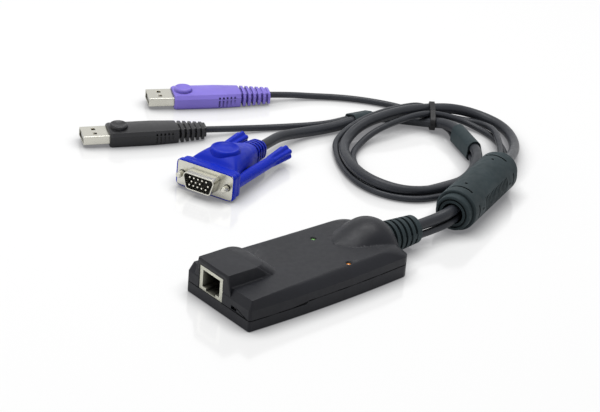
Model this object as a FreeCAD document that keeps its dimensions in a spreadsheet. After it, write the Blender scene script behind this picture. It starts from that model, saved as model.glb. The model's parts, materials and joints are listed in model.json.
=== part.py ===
import FreeCAD, Part
import math
import os

# Adapter that turns a VGA and two USB plugs into one RJ-45 socket, lying on a floor at z = 0.
# Millimetres, +Z up.  The socket looks along -X, the cords leave the case along +X.

V = FreeCAD.Vector
doc = FreeCAD.newDocument("kvm_dongle")

# ---------------------------------------------------------------- sizes
SIZES = [
    ("case_width", 43.2, "case width at the front"),
    ("case_length", 92.0, "case length without the strain relief"),
    ("case_bow", 1.0, "how far each long side bows out"),
    ("case_rear_pinch", 0.6, "how far each side draws in at the rear"),
    ("front_corner", 1.2, "front vertical corner radius"),
    ("rear_corner", 4.0, "rear vertical corner radius"),
    ("wall", 1.8, "case wall"),
    ("base_round", 0.5, "rounding of the bottom edge"),
    ("seam_front", 5.3, "parting line height at the front"),
    ("seam_rear", 6.3, "parting line height behind the step"),
    ("seam_step", 30.3, "where the parting line starts to rise"),
    ("rim_height", 10.2, "top of the upright wall"),
    ("deck_height", 14.3, "flat top of the case"),
    ("front_slope", 1.9, "how far the front face leans back to the deck"),
    ("side_slope", 5.2, "how far the sides draw in to the deck"),
    ("rear_slope", 4.7, "how far the rear draws in to the deck"),
    ("bump_height", 20.0, "top of the socket housing"),
    ("bump_mid", 25.85, "socket housing centre across the case"),
    ("bump_half", 10.35, "half width of the socket housing top"),
    ("bump_length", 20.5, "length of the socket housing top"),
    ("bump_round", 1.0, "rounding of the socket housing top"),
    ("jack_mid", 27.05, "socket centre across the case"),
    ("jack_width", 15.9, "socket body width"),
    ("jack_top", 16.7, "socket body top"),
    ("jack_length", 20.5, "socket body length"),
    ("jack_front", 0.3, "socket face behind the case face"),
    ("port_width", 11.6, "socket opening width"),
    ("port_floor", 7.0, "socket opening floor"),
    ("port_roof", 15.0, "socket opening roof"),
    ("port_depth", 14.5, "socket opening depth"),
    ("latch_width", 6.6, "latch channel width"),
    ("latch_floor", 5.8, "latch channel floor"),
    ("contact_pitch", 1.02, "socket contact pitch"),
    ("contact_wire", 0.35, "socket contact thickness"),
    ("board_thick", 1.6, "circuit board thickness"),
    ("board_gap", 0.5, "gap between board edge and wall"),
    ("lamp_bore", 2.2, "indicator hole diameter"),
    ("lamp_across", 2.1, "indicator light pipe diameter"),
    ("slot_mid", 10.8, "slide switch opening centre across the case"),
    ("slot_width", 3.8, "slide switch opening width"),
    ("slot_floor", 5.8, "slide switch opening floor"),
    ("slot_height", 1.7, "slide switch opening height"),
    ("slide_travel", 0.8, "slide switch travel each way"),
    ("relief_height", 8.3, "cord exit height"),
    ("relief_root", 8.0, "strain relief radius at the case"),
    ("relief_tip", 6.7, "strain relief radius at the end"),
    ("relief_length", 21.0, "strain relief length outside the case"),
    ("relief_neck", 7.4, "strain relief radius inside the wall"),
    ("rib_count", 5, "slots in the strain relief"),
    ("rib_pitch", 3.3, "slot pitch in the strain relief"),
    ("rib_gap", 1.3, "slot width in the strain relief"),
    ("screw_shank", 1.25, "case screw shank radius"),
    ("screw_head", 2.4, "case screw head radius"),
    ("screw_along", 79.0, "case screw distance from the front"),
    ("screw_spread", 13.4, "case screw offset from the middle"),
    ("fit_gap", 0.1, "clearance between pieces that drop into each other"),
    ("run_gap", 0.08, "radial clearance of pieces that turn or slide"),
    ("vga_cord_size", 5.3, "display cord diameter"),
    ("usb_cord_size", 3.2, "data cord diameter"),
    ("ferrite_radius", 10.15, "ferrite moulding radius"),
    ("ferrite_end", 8.6, "radius of the moulding's stepped ends"),
    ("ferrite_bore", 5.1, "hole for the cords"),
    ("ferrite_slots", 40.6, "distance between the end slots"),
    ("ferrite_past_slot", 5.0, "full radius beyond each slot"),
    ("ferrite_boss", 4.0, "stepped end length"),
    ("core_outer", 8.0, "ferrite core outer radius"),
    ("core_inner", 5.9, "ferrite core inner radius"),
    ("core_length", 32.0, "ferrite core length"),
    ("sleeve_gap", 0.15, "clearance round the cords in a sleeve"),
    ("sleeve_wall", 0.75, "sleeve wall"),
    ("collar_length", 20.6, "bundle sleeve length"),
    ("split_length", 11.0, "split sleeve length"),
    ("tie_wall", 0.7, "cord tie thickness"),
    ("tie_gap", 0.1, "clearance round the cords in the tie"),
    ("tie_width", 2.6, "cord tie width"),
    ("flange_width", 30.8, "display plug flange width"),
    ("flange_height", 12.5, "display plug flange height"),
    ("flange_thick", 0.8, "display plug flange thickness"),
    ("dsub_width", 16.9, "display plug shell width"),
    ("dsub_height", 8.4, "display plug shell height"),
    ("dsub_reach", 5.9, "display plug shell length"),
    ("dsub_sheet", 0.5, "display plug shell thickness"),
    ("pin_radius", 0.38, "display plug pin radius"),
    ("pin_pitch", 2.29, "display plug pin pitch"),
    ("pin_row", 1.98, "display plug row pitch"),
    ("hood_length", 55.6, "display plug hood length"),
    ("lip_rim", 0.75, "how far the hood lip stands round the flange"),
    ("lip_thick", 6.8, "hood lip thickness"),
    ("thumb_spread", 12.5, "thumbscrew offset from the middle"),
    ("thumb_shank", 2.8, "thumbscrew grip shank radius"),
    ("thumb_knob", 3.9, "thumbscrew knob radius"),
    ("thumb_start", 38.0, "knob start behind the flange"),
    ("thumb_end", 53.5, "knob end behind the flange"),
    ("thumb_tip", 1.45, "thumbscrew thread radius"),
    ("usb_width", 12.0, "data plug shell width"),
    ("usb_height", 4.5, "data plug shell height"),
    ("usb_sheet", 0.32, "data plug shell thickness"),
    ("usb_reach", 13.0, "data plug shell length"),
    ("usb_embed", 6.0, "data plug shell length inside the grip"),
    ("grip_width", 15.5, "data plug grip width"),
    ("grip_height", 8.0, "data plug grip height"),
    ("grip_ribs", 33.0, "where the grip's ribs start"),
    ("pad_radius", 4.6, "thumb pad radius"),
    ("pad_proud", 1.7, "thumb pad height above the grip"),
]

sheet = doc.addObject("Spreadsheet::Sheet", "Sizes")
for row, (alias, value, note) in enumerate(SIZES, start=1):
    sheet.set("A%d" % row, alias)
    sheet.set("B%d" % row, str(value))
    sheet.set("C%d" % row, note)
    sheet.setAlias("B%d" % row, alias)
doc.recompute()


def s(alias):
    return float(getattr(sheet, alias))


MID = s("case_width") / 2
# The sizes below are measured from the case's front near corner; the frame's origin is under the middle.
CASE_AT = V(-(s("case_length") + s("relief_length")) / 2, -MID, 0)
CASE = FreeCAD.Placement(CASE_AT, FreeCAD.Rotation())
PIECES = []


# ---------------------------------------------------------------- helpers
def origin(body, role):
    for item in body.Origin.OriginFeatures:
        if item.Role == role:
            return item
    raise ValueError(role)


def new_body(label, place=CASE):
    body = doc.addObject("PartDesign::Body", label)
    body.Label = label
    body.Placement = place
    PIECES.append(body)
    return body


def sketch(body, plane, offset, edges):
    item = doc.addObject("Sketcher::SketchObject", body.Label + "_sketch")
    body.addObject(item)
    item.AttachmentSupport = [(origin(body, plane), "")]
    item.MapMode = "FlatFace"
    item.AttachmentOffset = FreeCAD.Placement(V(0, 0, offset), FreeCAD.Rotation())
    item.addGeometry(edges, False)
    item.Visibility = False
    return item


def feature(body, kind, profile, **values):
    item = doc.addObject("PartDesign::" + kind, body.Label + "_" + kind.lower())
    body.addObject(item)
    item.Profile = profile
    for name, value in values.items():
        if isinstance(value, str) and hasattr(sheet, value):
            item.setExpression(name, "Sizes." + value)
        else:
            setattr(item, name, value)
    body.Tip = item
    return item


def pad(body, plane, offset, edges, length, **more):
    return feature(body, "Pad", sketch(body, plane, offset, edges), Length=length, **more)


def pocket(body, plane, offset, edges, length, **more):
    return feature(body, "Pocket", sketch(body, plane, offset, edges), Length=length, **more)


def turned(body, kind, plane, axis, edges, angle=360.0, along=None, mid=False):
    """Turn a profile round a body axis, or round its own vertical axis standing at x = along."""
    profile = sketch(body, plane, 0, edges)
    axis_item = (origin(body, axis), [""])
    if along is not None:
        profile.AttachmentOffset = FreeCAD.Placement(V(along, 0, 0), FreeCAD.Rotation())
        axis_item = (profile, ["V_Axis"])
    return feature(body, kind, profile, ReferenceAxis=axis_item, Angle=angle, Midplane=mid)


def loft(body, kind, sections, ruled=True):
    items = [sketch(body, plane, offset, edges) for plane, offset, edges in sections]
    return feature(body, kind, items[0], Sections=items[1:], Ruled=ruled)


def dress(body, kind, base, edges, size_name, size):
    names = ["Edge%d" % (i + 1) for i, e in enumerate(base.Shape.Edges) if edges(e)]
    item = doc.addObject("PartDesign::" + kind, body.Label + "_" + kind.lower())
    body.addObject(item)
    item.Base = (base, names)
    setattr(item, size_name, size)
    body.Tip = item
    return item


def line(a, b):
    return Part.LineSegment(V(a[0], a[1], 0), V(b[0], b[1], 0))


def arc(a, m, b):
    return Part.Arc(V(a[0], a[1], 0), V(m[0], m[1], 0), V(b[0], b[1], 0))


def dish(rim, top, depth):
    """Arc from a rim down to the axis, centred on the axis."""
    ball = (rim ** 2 + depth ** 2) / (2 * depth)
    half = math.asin(rim / ball) / 2
    middle = (ball * math.sin(half), top - depth + ball * (1 - math.cos(half)))
    return arc((rim, top), middle, (0, top - depth))


def poly(points):
    return [line(p, q) for p, q in zip(points, points[1:] + points[:1])]


def rect(x0, y0, x1, y1):
    return poly([(x0, y0), (x1, y0), (x1, y1), (x0, y1)])


def circle(x, y, r):
    return [Part.Circle(V(x, y, 0), V(0, 0, 1), r)]


def corner(cx, cy, r, start):
    """Quarter turn round (cx, cy) that starts at angle start (degrees)."""
    pts = [(cx + r * math.cos(math.radians(start + t)), cy + r * math.sin(math.radians(start + t)))
           for t in (0, 45, 90)]
    return arc(*pts)


def round_rect(x0, y0, x1, y1, r):
    return [line((x0 + r, y0), (x1 - r, y0)), corner(x1 - r, y0 + r, r, 270),
            line((x1, y0 + r), (x1, y1 - r)), corner(x1 - r, y1 - r, r, 0),
            line((x1 - r, y1), (x0 + r, y1)), corner(x0 + r, y1 - r, r, 90),
            line((x0, y1 - r), (x0, y0 + r)), corner(x0 + r, y0 + r, r, 180)]


def side(a, m, b):
    flat = abs((b[0] - a[0]) * (m[1] - a[1]) - (m[0] - a[0]) * (b[1] - a[1])) < 1e-6
    return line(a, b) if flat else arc(a, m, b)


def outline(x0, x1, yc, front, middle, rear, rf, rr):
    """Plan outline with bowed sides: half widths at the front, middle and rear, corner radii."""
    xm = (x0 + x1) / 2
    return [line((x0, yc + front - rf), (x0, yc - front + rf)),
            corner(x0 + rf, yc - front + rf, rf, 180),
            side((x0 + rf, yc - front), (xm, yc - middle), (x1 - rr, yc - rear)),
            corner(x1 - rr, yc - rear + rr, rr, 270),
            line((x1, yc - rear + rr), (x1, yc + rear - rr)),
            corner(x1 - rr, yc + rear - rr, rr, 0),
            side((x1 - rr, yc + rear), (xm, yc + middle), (x0 + rf, yc + front)),
            corner(x0 + rf, yc + front - rf, rf, 90)]


def case_outline(inset):
    half = MID - inset
    return outline(inset, s("case_length") - inset, MID, half, half + s("case_bow"),
                   half - s("case_rear_pinch"), max(s("front_corner") - inset, 0.4),
                   s("rear_corner") - inset)


def hull(circles):
    """Outline round circles (x, y, r) listed anticlockwise: tangent lines and arcs."""
    joins = []
    for (x1, y1, r1), (x2, y2, r2) in zip(circles, circles[1:] + circles[:1]):
        gap = math.hypot(x2 - x1, y2 - y1)
        ux, uy = (x2 - x1) / gap, (y2 - y1) / gap
        c = (r1 - r2) / gap
        k = math.sqrt(1 - c * c)
        nx, ny = c * ux + k * uy, c * uy - k * ux
        joins.append(((x1 + r1 * nx, y1 + r1 * ny), (x2 + r2 * nx, y2 + r2 * ny), (nx, ny)))
    edges = []
    for i, (a, b, n) in enumerate(joins):
        edges.append(line(a, b))
        x, y, r = circles[(i + 1) % len(circles)]
        following = joins[(i + 1) % len(joins)]
        t0 = math.atan2(n[1], n[0])
        t1 = math.atan2(following[2][1], following[2][0])
        if t1 <= t0:
            t1 += 2 * math.pi
        tm = (t0 + t1) / 2
        edges.append(arc(b, (x + r * math.cos(tm), y + r * math.sin(tm)), following[0]))
    return edges


# ---------------------------------------------------------------- bottom cover
wall = s("wall")
board_top = s("seam_front")
board_low = board_top - s("board_thick")
relief_z = s("relief_height")
screws = [(s("screw_along"), MID + side_of * s("screw_spread")) for side_of in (-1, 1)]

bottom = new_body("bottom_cover")
base_pad = pad(bottom, "XY_Plane", 0, case_outline(0), "seam_rear")
doc.recompute()
dress(bottom, "Fillet", base_pad,
      lambda e: e.BoundBox.ZMax < 0.01, "Radius", s("base_round"))
step = s("seam_step")
pocket(bottom, "XZ_Plane", 0,
       poly([(-2, s("seam_front")), (step, s("seam_front")), (step + 1.5, s("seam_rear")),
             (step + 1.5, s("seam_rear") + 1), (-2, s("seam_rear") + 1)]), 200, Midplane=True)
pocket(bottom, "XY_Plane", s("seam_rear"), case_outline(wall), s("seam_rear") - wall)
posts = []
for x, y in screws + [(26.0, 6.0), (26.0, 37.2)]:
    posts += circle(x, y, 3.3)
pad(bottom, "XY_Plane", wall - 0.3, posts, board_low - wall + 0.3)
heads, shanks = [], []
for x, y in screws:
    heads += circle(x, y, s("screw_head") + 0.15)
    shanks += circle(x, y, s("screw_shank") + 0.15)
pocket(bottom, "XY_Plane", 0, heads, 1.9, Reversed=True)
pocket(bottom, "XY_Plane", 0, shanks, 6, Reversed=True)
pocket(bottom, "YZ_Plane", s("case_length") - wall - 0.05, circle(MID, relief_z, s("relief_neck")),
       wall + 1, Reversed=True)
pocket(bottom, "XY_Plane", 0, round_rect(22, 9, 66, 34.2, 2), 0.25, Reversed=True)

# ---------------------------------------------------------------- top cover
top = new_body("top_cover")
pad(top, "XY_Plane", s("seam_front"), case_outline(0), s("rim_height") - s("seam_front"))
rise = s("deck_height") - s("rim_height")


def deck_outline(up):
    """Outline at the fraction up of the slope: straight at the front, rounded over elsewhere."""
    over = 1 - (1 - up) ** 0.6
    return outline(s("front_slope") * up, s("case_length") - s("rear_slope") * over, MID,
                   MID - 1.3 * up, MID + s("case_bow") - s("side_slope") * over,
                   MID - s("case_rear_pinch") - 4.2 * over, s("front_corner") - 0.6 * up,
                   s("rear_corner") + 9.0 * over)


loft(top, "AdditiveLoft", [("XY_Plane", s("rim_height") + rise * up, deck_outline(up))
                           for up in (0.0, 0.35, 0.65, 0.85, 0.96, 1.0)])
half = s("bump_half")
bump_low = outline(0, 32.8, s("bump_mid"), half + 2.1, half + 2.1, half + 2.1, 0.4, 6.0)
bump_high = outline(0, s("bump_length"), s("bump_mid"), half, half, half, 0.4, 5.0)
loft(top, "AdditiveLoft", [("XY_Plane", 11.0, bump_low), ("XY_Plane", s("bump_height"), bump_high)])
HUMP = [(64.2, 1.6, 13.3, 14.35), (70.0, 8.6, 13.8, 16.2), (77.0, 11.6, 13.6, 18.8),
        (84.0, 13.6, 12.8, 20.6), (88.5, 14.6, 11.4, 20.2), (92.0, 13.4, 10.0, 18.7)]


def hump_section(w, low, high, floor=9.0):
    return [arc((MID + w, low), (MID, high), (MID - w, low)), line((MID - w, low), (MID - w, floor)),
            line((MID - w, floor), (MID + w, floor)), line((MID + w, floor), (MID + w, low))]


loft(top, "AdditiveLoft", [("YZ_Plane", x, hump_section(w, low, high)) for x, w, low, high in HUMP],
     ruled=False)
# hollow inside
pocket(top, "XY_Plane", s("seam_front"), case_outline(wall), 4.3, Reversed=True)
inner_deck = outline(4.2, 85.0, MID, MID - 3.6, MID - 6.0, MID - 6.6, 0.6, 12.0)
loft(top, "SubtractiveLoft", [("XY_Plane", s("seam_front") + 4.2, case_outline(wall + 0.4)),
                              ("XY_Plane", s("deck_height") - wall, inner_deck)])
jack_y0 = s("jack_mid") - s("jack_width") / 2
jack_y1 = s("jack_mid") + s("jack_width") / 2
fit = s("fit_gap")
pocket(top, "YZ_Plane", -1,
       rect(jack_y0 - fit, s("seam_front") - 1, jack_y1 + fit, s("jack_top") + fit),
       1 + s("jack_front") + s("jack_length") + fit, Reversed=True)
pocket(top, "YZ_Plane", 66, rect(MID - 7.1, s("seam_front") - 1, MID + 7.1, 14.2),
       s("case_length") - wall - 66, Reversed=True)
pocket(top, "YZ_Plane", s("case_length") - wall - 0.05, circle(MID, relief_z, s("relief_neck")),
       wall + 1, Reversed=True)
pocket(top, "XZ_Plane", 0,
       poly([(step, s("seam_front")), (step + 1.5, s("seam_rear")), (94, s("seam_rear")),
             (94, 4), (step, 4)]), 200, Midplane=True)
slot_x = s("slot_mid")
pocket(top, "YZ_Plane", -1,
       rect(slot_x - s("slot_width") / 2, s("slot_floor"), slot_x + s("slot_width") / 2,
            s("slot_floor") + s("slot_height")), 1 + wall + 0.2, Reversed=True)
lamps = {"online_led": (60.0, 30.5), "power_led": (58.6, 4.9)}
wells, bores, bosses = [], [], []
for x, y in lamps.values():
    wells += circle(x, y, 1.5)
    bores += circle(x, y, s("lamp_bore") / 2)
pocket(top, "XY_Plane", 16, wells, 16 - s("deck_height") + 0.35)
pocket(top, "XY_Plane", 16, bores, 12)
for x, y in screws:
    bosses += circle(x, y, 3.0)
pad(top, "XY_Plane", board_top, bosses, 8.0)
holes = []
for x, y in screws:
    holes += circle(x, y, s("screw_shank"))
pocket(top, "XY_Plane", board_top - 0.1, holes, 5.2, Reversed=True)
pocket(top, "XZ_Plane", -(MID - 12.6),
       poly([(79.0, 12.6), (88.0, 11.0), (88.0, 11.7), (79.0, 13.3)]), 2.2, Midplane=True)

# ---------------------------------------------------------------- electronics
board = new_body("circuit_board")
inset = wall + s("board_gap")
pad(board, "XY_Plane", board_low, case_outline(inset), "board_thick")
cuts = []
for x, y in screws:
    cuts += circle(x, y, s("screw_shank") + 0.2)
pocket(board, "XY_Plane", board_top + 1, cuts, 5)
pocket(board, "XY_Plane", board_top + 1, rect(85.4, MID - 9, 95, MID + 9), 5)

jack = new_body("rj45_jack")
front = s("jack_front")
pad(jack, "YZ_Plane", front, round_rect(jack_y0, board_top, jack_y1, s("jack_top"), 0.3), "jack_length")
port_y0 = s("jack_mid") - s("port_width") / 2
port_y1 = s("jack_mid") + s("port_width") / 2
latch_y0 = s("jack_mid") - s("latch_width") / 2
latch_y1 = s("jack_mid") + s("latch_width") / 2
pocket(jack, "YZ_Plane", front, poly([
    (port_y0, s("port_floor")), (latch_y0, s("port_floor")), (latch_y0, s("latch_floor")),
    (latch_y1, s("latch_floor")), (latch_y1, s("port_floor")), (port_y1, s("port_floor")),
    (port_y1, s("port_roof")), (port_y0, s("port_roof"))]), s("port_depth"), Reversed=True)

contacts = new_body("rj45_contacts")
roof = s("port_roof")
t = s("contact_wire")
for i in range(8):
    y = s("jack_mid") + (i - 3.5) * s("contact_pitch")
    pad(contacts, "XZ_Plane", -y,
        poly([(front + 1.2, roof), (front + 1.2, roof - t), (front + 3.2, roof - t),
              (front + 12.4, 11.6), (front + 12.8, 11.9), (front + 3.4, roof)]), t, Midplane=True)

for label, (x, y) in lamps.items():
    lamp = new_body(label)
    profile = poly([(0, board_top), (1.6, board_top), (1.6, board_top + 1.2),
                    (s("lamp_across") / 2, board_top + 1.2), (s("lamp_across") / 2, 13.6), (0, 13.9)])
    turned(lamp, "Revolution", "XZ_Plane", "Z_Axis", profile)
    lamp.Placement = FreeCAD.Placement(CASE_AT + V(x, y, 0), FreeCAD.Rotation())

switch = new_body("switch_body")
pad(switch, "XY_Plane", board_top, rect(2.1, slot_x - 3.2, 7.0, slot_x + 3.2), 3.4)
slot_mid_z = s("slot_floor") + s("slot_height") / 2
pocket(switch, "YZ_Plane", 2.1,
       rect(slot_x - 1.75, slot_mid_z - 0.7, slot_x + 1.75, slot_mid_z + 0.7), 2.6, Reversed=True)
slider = new_body("switch_slider")
knob = 0.7 - s("run_gap")
pad(slider, "YZ_Plane", 0.9, rect(slot_x - 0.85, slot_mid_z - knob, slot_x + 0.85, slot_mid_z + knob),
    3.7)

chips = new_body("controller_chips")
pad(chips, "XY_Plane", board_top, rect(34, 15, 46, 27), 1.4)
pad(chips, "XY_Plane", board_top, rect(53, 17, 61, 23), 1.7)
pad(chips, "XY_Plane", board_top, rect(24, 10, 29, 14), 1.1)
pad(chips, "XY_Plane", board_top, rect(68, 15, 72, 28.5), 3.6)

screw_set = new_body("case_screws")
head_low = 0.2
rings = []
for x, y in screws:
    rings += circle(x, y, s("screw_head"))
pad(screw_set, "XY_Plane", head_low, rings, 1.9 - head_low)
rings = []
for x, y in screws:
    rings += circle(x, y, s("screw_shank"))
pad(screw_set, "XY_Plane", 1.8, rings, 8.0)
crosses = []
for x, y in screws:
    crosses += poly([(x - 1.4, y - 0.3), (x - 0.3, y - 0.3), (x - 0.3, y - 1.4), (x + 0.3, y - 1.4),
                     (x + 0.3, y - 0.3), (x + 1.4, y - 0.3), (x + 1.4, y + 0.3), (x + 0.3, y + 0.3),
                     (x + 0.3, y + 1.4), (x - 0.3, y + 1.4), (x - 0.3, y + 0.3), (x - 1.4, y + 0.3)])
pocket(screw_set, "XY_Plane", 0, crosses, head_low + 0.7, Reversed=True)

# ---------------------------------------------------------------- strain relief
relief = new_body("strain_relief", FreeCAD.Placement(CASE_AT + V(s("case_length"), MID, relief_z),
                                                     FreeCAD.Rotation()))
root, tip, reach = s("relief_root"), s("relief_tip"), s("relief_length")
turned(relief, "Revolution", "XZ_Plane", "X_Axis", [
    line((-wall, 0), (-wall, s("relief_neck"))), line((-wall, s("relief_neck")), (0, s("relief_neck"))),
    line((0, s("relief_neck")), (0, root)), line((0, root), (2.0, root)),
    line((2.0, root), (reach - 0.8, tip)), arc((reach - 0.8, tip), (reach - 0.25, tip - 0.25),
                                               (reach, tip - 0.8)),
    line((reach, tip - 0.8), (reach, 0)), line((reach, 0), (-wall, 0))])
slots = []
for i in range(int(s("rib_count"))):
    x = 3.2 + i * s("rib_pitch")
    slots += rect(x, 4.9, x + s("rib_gap"), 9.0)
turned(relief, "Groove", "XZ_Plane", "X_Axis", slots)
pad(relief, "YZ_Plane", 0.5, rect(4.0, -1.2, 6.6, 1.2) + rect(-6.6, -1.2, -4.0, 1.2), reach - 1.5)
pad(relief, "YZ_Plane", -wall - 1.9, rect(-7.0, -6.2, 7.0, 5.8), 1.9)

# ---------------------------------------------------------------- cords
# Route points, chosen by hand: each cord leaves the strain relief, goes through the ferrite, lies once
# round the loop, passes the sleeve and the tie, and ends at its plug.
VGA_ROUTE = [
    (56.5, -0.8, 9.8), (66.5, -0.8, 9.8), (77.2, -2.2, 12.0), (90.5, 3.5, 11.9), (106.5, 10.2, 11.9),
    (122.5, 16.9, 11.8), (136.5, 22.9, 11.5), (149.9, 31.0, 8.2), (160.9, 39.2, 5.4), (170.1, 48.0, 3.2),
    (176.9, 57.8, 2.65), (180.4, 68.6, 2.65), (179.3, 79.2, 3.1), (173.3, 87.0, 4.9), (165.1, 91.5, 6.7),
    (156.3, 95.3, 7.1), (146.9, 97.6, 8.0), (136.7, 98.6, 8.6), (126.1, 99.0, 8.4), (115.9, 99.0, 7.8),
    (106.9, 98.0, 6.0), (98.3, 94.6, 3.9), (90.7, 87.8, 2.65), (84.5, 78.4, 2.65), (80.1, 68.4, 2.65),
    (77.7, 57.8, 2.65), (78.7, 47.4, 2.65), (83.9, 38.8, 2.65), (92.7, 33.4, 2.65), (103.3, 31.0, 2.65),
    (114.1, 29.8, 3.2), (124.5, 31.6, 5.4), (133.1, 37.6, 6.8), (141.7, 45.8, 6.85), (146.2, 58.0, 6.85),
    (151.1, 70.6, 6.85), (151.4, 79.4, 6.3), (150.0, 87.4, 3.8), (145.8, 95.4, 2.65),
    (139.1, 102.4, 2.65), (131.8, 107.4, 3.4), (118.1, 110.0, 3.7), (106.9, 110.8, 2.8),
    (95.9, 112.6, 2.65), (84.9, 114.0, 3.2), (70.5, 112.8, 5.2), (58.9, 108.85, 5.75),
]
BLACK_ROUTE = [
    (56.5, -2.9, 5.9), (66.5, -2.9, 5.9), (77.4, -3.7, 7.5), (91.2, 1.9, 7.9), (107.2, 8.5, 7.9),
    (123.2, 15.2, 7.8), (137.3, 21.5, 7.0), (148.3, 31.0, 3.2), (157.1, 40.6, 1.7), (164.1, 50.4, 1.6),
    (168.5, 61.4, 1.6), (169.3, 72.0, 1.7), (166.3, 81.0, 3.2), (159.3, 86.8, 5.7), (151.1, 90.2, 7.8),
    (141.7, 92.0, 8.0), (131.9, 92.4, 7.4), (121.5, 92.6, 6.4), (111.9, 92.4, 4.2), (103.1, 90.0, 2.0),
    (95.1, 84.6, 1.6), (88.9, 75.8, 1.6), (84.7, 66.0, 1.6), (82.4, 55.8, 1.6), (84.1, 46.6, 1.6),
    (90.3, 39.8, 1.6), (99.5, 36.4, 1.6), (110.1, 35.0, 1.6), (120.9, 34.6, 1.6), (131.1, 38.4, 2.0),
    (140.4, 46.3, 2.6), (144.9, 58.5, 2.6), (149.7, 71.1, 2.6), (155.4, 79.5, 1.9),
    (155.0, 90.0, 2.4), (150.6, 98.6, 1.8), (144.3, 105.6, 1.6), (137.9, 110.2, 1.7), (131.0, 112.8, 2.8),
    (118.3, 114.6, 3.0), (107.9, 117.0, 1.8), (97.5, 120.6, 1.6), (87.3, 125.0, 1.6), (77.1, 129.6, 1.6),
    (66.3, 133.6, 2.2), (55.3, 136.6, 3.3), (45.1, 140.3, 4.0),
]
PURPLE_ROUTE = [
    (56.5, 2.3, 6.4), (66.1, 2.3, 6.4), (76.4, -0.3, 7.7), (89.9, 5.1, 8.0), (105.8, 11.9, 7.9),
    (121.8, 18.6, 7.8), (135.4, 24.3, 7.3), (145.9, 33.6, 5.6), (155.3, 43.0, 5.0), (163.3, 52.8, 5.1),
    (169.7, 62.2, 5.1), (173.5, 72.0, 2.8), (172.9, 80.8, 1.6), (167.8, 87.6, 1.6), (162.2, 95.8, 2.7),
    (154.9, 101.8, 7.0), (145.3, 104.2, 7.1), (134.5, 104.4, 7.6), (123.9, 103.9, 7.6), (113.1, 103.4, 6.4),
    (102.7, 101.8, 4.2), (93.7, 97.6, 2.2), (86.9, 90.4, 1.6), (80.5, 80.8, 1.6), (75.7, 69.8, 1.6),
    (73.1, 58.2, 1.6), (74.3, 46.0, 1.6), (79.7, 35.6, 1.6), (88.9, 29.4, 1.6), (100.1, 26.4, 1.6),
    (111.5, 25.2, 1.6), (122.5, 26.8, 1.6), (132.5, 32.4, 2.0), (143.8, 45.0, 2.6), (148.3, 57.2, 2.6),
    (153.2, 69.8, 2.6), (159.2, 80.0, 2.0), (158.6, 90.6, 2.8), (156.4, 100.6, 1.8),
    (152.5, 112.8, 1.6), (146.9, 122.6, 1.6), (139.7, 132.0, 1.6), (131.1, 140.4, 1.6), (120.7, 147.8, 1.7),
    (109.7, 153.0, 3.0), (99.0, 156.6, 4.0),
]


def cord(label, route, size_name):
    """A round cord along straight runs joined by tangent arcs."""
    size = s(size_name)
    points = [V(*p) for p in route]
    edges, here, tightest = [], points[0], 1e9
    for before, at, after in zip(points, points[1:], points[2:]):
        u1 = (at - before).normalize()
        u2 = (after - at).normalize()
        turn = u1.getAngle(u2)
        trim = 0.45 * min((at - before).Length, (after - at).Length)
        radius = trim / math.tan(turn / 2)
        tightest = min(tightest, radius)
        start, end = at - u1 * trim, at + u2 * trim
        centre = at + (u2 - u1).normalize() * (radius / math.cos(turn / 2))
        middle = centre + (at - centre).normalize() * radius
        edges.append(Part.LineSegment(here, start).toShape())
        edges.append(Part.Arc(start, middle, end).toShape())
        here = end
    edges.append(Part.LineSegment(here, points[-1]).toShape())
    spine = Part.Wire(edges)
    first = (points[1] - points[0]).normalize()
    ring = Part.Wire([Part.makeCircle(size / 2, points[0], first)])
    solid = spine.makePipeShell([ring], True, False, 2)
    expected = math.pi * (size / 2) ** 2 * spine.Length
    print("%s: length %.1f mm, tightest radius %.1f mm, volume %.4f of expected"
          % (label, spine.Length, tightest, abs(solid.Volume) / expected))
    item = doc.addObject("Part::Feature", label)
    item.Label = label
    item.Shape = solid
    PIECES.append(item)
    return item


cord("vga_cord", VGA_ROUTE, "vga_cord_size")
cord("black_usb_cord", BLACK_ROUTE, "usb_cord_size")
cord("purple_usb_cord", PURPLE_ROUTE, "usb_cord_size")

# ---------------------------------------------------------------- ferrite
fr = s("ferrite_radius")
slots_apart = s("ferrite_slots")
full0, full1 = -s("ferrite_past_slot"), slots_apart + s("ferrite_past_slot")
boss = s("ferrite_boss")
FERRITE = FreeCAD.Placement(V(88.0, 2.5, fr), FreeCAD.Rotation(V(0, 0, 1), 22.6))
ferrite = new_body("ferrite_case", FERRITE)
bore, er = s("ferrite_bore"), s("ferrite_end")
turned(ferrite, "Revolution", "XZ_Plane", "X_Axis", [
    line((full0 - boss, bore), (full0 - boss, er - 0.8)),
    arc((full0 - boss, er - 0.8), (full0 - boss + 0.24, er - 0.24), (full0 - boss + 0.8, er)),
    line((full0 - boss + 0.8, er), (full0, er)), line((full0, er), (full0, fr - 0.8)),
    arc((full0, fr - 0.8), (full0 + 0.24, fr - 0.24), (full0 + 0.8, fr)),
    line((full0 + 0.8, fr), (full1 - 0.8, fr)),
    arc((full1 - 0.8, fr), (full1 - 0.24, fr - 0.24), (full1, fr - 0.8)),
    line((full1, fr - 0.8), (full1, er)), line((full1, er), (full1 + boss - 0.8, er)),
    arc((full1 + boss - 0.8, er), (full1 + boss - 0.24, er - 0.24), (full1 + boss, er - 0.8)),
    line((full1 + boss, er - 0.8), (full1 + boss, bore)), line((full1 + boss, bore), (full0 - boss, bore))])
ring_gap = rect(full0 - boss - 1, 6.4, full0 - boss + 0.9, 7.2)
ring_gap += rect(full1 + boss - 0.9, 6.4, full1 + boss + 1, 7.2)
turned(ferrite, "Groove", "XZ_Plane", "X_Axis", ring_gap)
core_mid = slots_apart / 2
core_half = s("core_length") / 2 + fit
turned(ferrite, "Groove", "XZ_Plane", "X_Axis",
       rect(core_mid - core_half, s("core_inner") - fit, core_mid + core_half, s("core_outer") + fit))
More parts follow.
